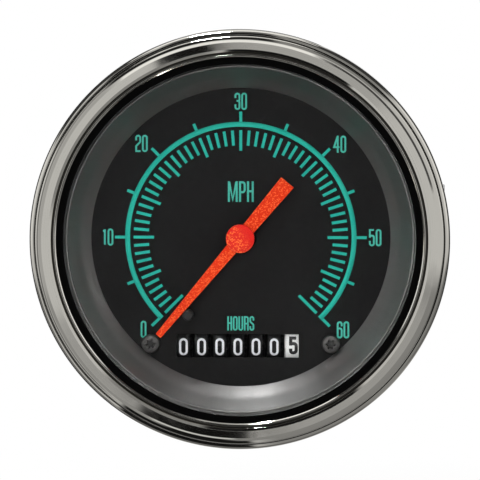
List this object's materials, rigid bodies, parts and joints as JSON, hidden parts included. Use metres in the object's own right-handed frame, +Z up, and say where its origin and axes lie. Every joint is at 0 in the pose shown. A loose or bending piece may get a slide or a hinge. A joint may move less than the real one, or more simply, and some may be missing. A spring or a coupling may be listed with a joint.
{
  "type": "dashboard speedometer",
  "caption": "Round panel speedometer with a tapered pointer over a miles-per-hour scale and a drum counter of running hours, held in its panel hole by a rear strap bracket.",
  "frame": {"origin": "centre of the bezel's rear face, where it seats on the front of the panel", "axes": "the dial faces -Y, +Z is up the dial, +X is to the right as the dial is read; +Y runs back through the panel hole"},
  "size_m": [0.094, 0.0904, 0.094],
  "materials": {
    "bezel": "polished stainless",
    "front_seal": "matte",
    "lens": "clear",
    "rear_seal": "matte",
    "reveal_ring": "satin black",
    "gauge_case": "zinc plated",
    "dial_plate": "matte charcoal",
    "dial_scale": "screen printed ink",
    "dial_screws": "black oxide",
    "stop_pin": "matte black",
    "light_housing": "white moulded",
    "pointer": "matte orange paint",
    "pointer_hub": "orange",
    "spindle": "ground",
    "magnet_rotor": "sintered",
    "spindle_bearings": "turned",
    "bobbin_front": "natural nylon",
    "bobbin_rear": "natural nylon",
    "inner_coils": "enamelled copper wire",
    "outer_coils": "enamelled copper wire",
    "shield_cup": "tin plated",
    "return_magnet": "ferrite",
    "chassis_screws": "zinc plated",
    "counter_frame": "zinc plated",
    "drum_shaft": "ground",
    "pinion_shaft": "ground",
    "drum_hundred_thousands": "moulded",
    "drum_ten_thousands": "moulded",
    "drum_thousands": "moulded",
    "drum_hundreds": "moulded",
    "drum_tens": "moulded",
    "drum_ones": "moulded",
    "drum_tenths": "moulded",
    "transfer_pinion_1": "acetal",
    "transfer_pinion_2": "acetal",
    "transfer_pinion_3": "acetal",
    "transfer_pinion_4": "acetal",
    "transfer_pinion_5": "acetal",
    "transfer_pinion_6": "acetal",
    "counter_motor": "plated can",
    "motor_pinion": "hobbed",
    "idler_gear": "acetal",
    "chassis_plate": "sheet",
    "dial_standoffs": "turned",
    "circuit_board": "solder mask",
    "board_chips": "moulded",
    "board_capacitors": "sleeved",
    "trimmer_body": "moulded",
    "trimmer_rotor": "moulded",
    "support_pillars": "nickel plated hexagon",
    "case_screws": "zinc plated",
    "bulb_holders": "moulded",
    "bulbs": "clear",
    "terminal_block": "moulded",
    "blade_terminals": "tinned",
    "studs": "zinc plated",
    "stud_nuts": "zinc plated",
    "clamp_bracket": "zinc plated strap",
    "clamp_nuts": "zinc plated"
  },
  "bodies": {
    "gauge": {"bezel": "bezel", "front_seal": "front_seal", "lens": "lens", "rear_seal": "rear_seal", "reveal_ring": "reveal_ring", "gauge_case": "gauge_case", "dial_plate": "dial_plate", "dial_scale": "dial_scale", "dial_screws": "dial_screws", "stop_pin": "stop_pin", "light_housing": "light_housing", "spindle_bearings": "spindle_bearings", "bobbin_front": "bobbin_front", "bobbin_rear": "bobbin_rear", "inner_coils": "inner_coils", "outer_coils": "outer_coils", "shield_cup": "shield_cup", "return_magnet": "return_magnet", "chassis_screws": "chassis_screws", "counter_frame": "counter_frame", "drum_shaft": "drum_shaft", "pinion_shaft": "pinion_shaft", "counter_motor": "counter_motor", "chassis_plate": "chassis_plate", "dial_standoffs": "dial_standoffs", "circuit_board": "circuit_board", "board_chips": "board_chips", "board_capacitors": "board_capacitors", "trimmer_body": "trimmer_body", "support_pillars": "support_pillars", "case_screws": "case_screws", "bulb_holders": "bulb_holders", "bulbs": "bulbs", "terminal_block": "terminal_block", "blade_terminals": "blade_terminals", "studs": "studs", "stud_nuts": "stud_nuts"},
    "pointer": {"pointer": "pointer", "pointer_hub": "pointer_hub", "spindle": "spindle", "magnet_rotor": "magnet_rotor"},
    "trimmer": {"trimmer_rotor": "trimmer_rotor"},
    "clamp": {"clamp_bracket": "clamp_bracket", "clamp_nuts": "clamp_nuts"},
    "idler": {"idler_gear": "idler_gear"},
    "motor_shaft": {"motor_pinion": "motor_pinion"},
    "drum_tenths": {"drum_tenths": "drum_tenths"},
    "drum_ones": {"drum_ones": "drum_ones"},
    "drum_tens": {"drum_tens": "drum_tens"},
    "drum_hundreds": {"drum_hundreds": "drum_hundreds"},
    "drum_thousands": {"drum_thousands": "drum_thousands"},
    "drum_ten_thousands": {"drum_ten_thousands": "drum_ten_thousands"},
    "drum_hundred_thousands": {"drum_hundred_thousands": "drum_hundred_thousands"},
    "transfer_pinion_1": {"transfer_pinion_1": "transfer_pinion_1"},
    "transfer_pinion_2": {"transfer_pinion_2": "transfer_pinion_2"},
    "transfer_pinion_3": {"transfer_pinion_3": "transfer_pinion_3"},
    "transfer_pinion_4": {"transfer_pinion_4": "transfer_pinion_4"},
    "transfer_pinion_5": {"transfer_pinion_5": "transfer_pinion_5"},
    "transfer_pinion_6": {"transfer_pinion_6": "transfer_pinion_6"}
  },
  "joints": [
    {"name": "pointer_turn", "type": "hinge", "parent": "gauge", "child": "pointer", "pos_m": [0, 0, 0], "axis": [0, 1, 0], "range_deg": [0, 280], "stiffness_Nm_per_rad": 0.00002, "springref_deg": -28.65},
    {"name": "drum_tenths_turn", "type": "hinge", "parent": "gauge", "child": "drum_tenths", "pos_m": [0, 0.0139, -0.0245], "axis": [1, 0, 0], "continuous": true},
    {"name": "drum_ones_turn", "type": "hinge", "parent": "gauge", "child": "drum_ones", "pos_m": [0, 0.0139, -0.0245], "axis": [1, 0, 0], "continuous": true},
    {"name": "drum_tens_turn", "type": "hinge", "parent": "gauge", "child": "drum_tens", "pos_m": [0, 0.0139, -0.0245], "axis": [1, 0, 0], "continuous": true},
    {"name": "drum_hundreds_turn", "type": "hinge", "parent": "gauge", "child": "drum_hundreds", "pos_m": [0, 0.0139, -0.0245], "axis": [1, 0, 0], "continuous": true},
    {"name": "drum_thousands_turn", "type": "hinge", "parent": "gauge", "child": "drum_thousands", "pos_m": [0, 0.0139, -0.0245], "axis": [1, 0, 0], "continuous": true},
    {"name": "drum_ten_thousands_turn", "type": "hinge", "parent": "gauge", "child": "drum_ten_thousands", "pos_m": [0, 0.0139, -0.0245], "axis": [1, 0, 0], "continuous": true},
    {"name": "drum_hundred_thousands_turn", "type": "hinge", "parent": "gauge", "child": "drum_hundred_thousands", "pos_m": [0, 0.0139, -0.0245], "axis": [1, 0, 0], "continuous": true},
    {"name": "transfer_pinion_1_turn", "type": "hinge", "parent": "gauge", "child": "transfer_pinion_1", "pos_m": [0, 0.02117, -0.0287], "axis": [1, 0, 0], "continuous": true},
    {"name": "transfer_pinion_2_turn", "type": "hinge", "parent": "gauge", "child": "transfer_pinion_2", "pos_m": [0, 0.02117, -0.0287], "axis": [1, 0, 0], "continuous": true},
    {"name": "transfer_pinion_3_turn", "type": "hinge", "parent": "gauge", "child": "transfer_pinion_3", "pos_m": [0, 0.02117, -0.0287], "axis": [1, 0, 0], "continuous": true},
    {"name": "transfer_pinion_4_turn", "type": "hinge", "parent": "gauge", "child": "transfer_pinion_4", "pos_m": [0, 0.02117, -0.0287], "axis": [1, 0, 0], "continuous": true},
    {"name": "transfer_pinion_5_turn", "type": "hinge", "parent": "gauge", "child": "transfer_pinion_5", "pos_m": [0, 0.02117, -0.0287], "axis": [1, 0, 0], "continuous": true},
    {"name": "transfer_pinion_6_turn", "type": "hinge", "parent": "gauge", "child": "transfer_pinion_6", "pos_m": [0, 0.02117, -0.0287], "axis": [1, 0, 0], "continuous": true},
    {"name": "idler_turn", "type": "hinge", "parent": "gauge", "child": "idler", "pos_m": [0, 0.02291, -0.01819], "axis": [1, 0, 0], "continuous": true},
    {"name": "motor_shaft_turn", "type": "hinge", "parent": "gauge", "child": "motor_shaft", "pos_m": [0, 0.02786, -0.02314], "axis": [1, 0, 0], "continuous": true},
    {"name": "trimmer_turn", "type": "hinge", "parent": "gauge", "child": "trimmer", "pos_m": [0, 0.043, 0.024], "axis": [0, 1, 0], "range_deg": [-135, 135]},
    {"name": "clamp_slide", "type": "slide", "parent": "gauge", "child": "clamp", "axis": [0, 1, 0], "range_m": [-0.005, 0.01]}
  ],
  "couplings": [
    {"joint": "drum_ones_turn", "follows": "drum_tenths_turn", "ratio": 0.1},
    {"joint": "drum_tens_turn", "follows": "drum_tenths_turn", "ratio": 0.01},
    {"joint": "drum_hundreds_turn", "follows": "drum_tenths_turn", "ratio": 0.001},
    {"joint": "drum_thousands_turn", "follows": "drum_tenths_turn", "ratio": 0.0001},
    {"joint": "drum_ten_thousands_turn", "follows": "drum_tenths_turn", "ratio": 0.00001},
    {"joint": "drum_hundred_thousands_turn", "follows": "drum_tenths_turn", "ratio": 0.000001},
    {"joint": "transfer_pinion_1_turn", "follows": "drum_tenths_turn", "ratio": -0.0000025},
    {"joint": "transfer_pinion_2_turn", "follows": "drum_tenths_turn", "ratio": -0.000025},
    {"joint": "transfer_pinion_3_turn", "follows": "drum_tenths_turn", "ratio": -0.00025},
    {"joint": "transfer_pinion_4_turn", "follows": "drum_tenths_turn", "ratio": -0.0025},
    {"joint": "transfer_pinion_5_turn", "follows": "drum_tenths_turn", "ratio": -0.025},
    {"joint": "transfer_pinion_6_turn", "follows": "drum_tenths_turn", "ratio": -0.25},
    {"joint": "idler_turn", "follows": "drum_tenths_turn", "ratio": -1.4444},
    {"joint": "motor_shaft_turn", "follows": "drum_tenths_turn", "ratio": 2.6}
  ]
}
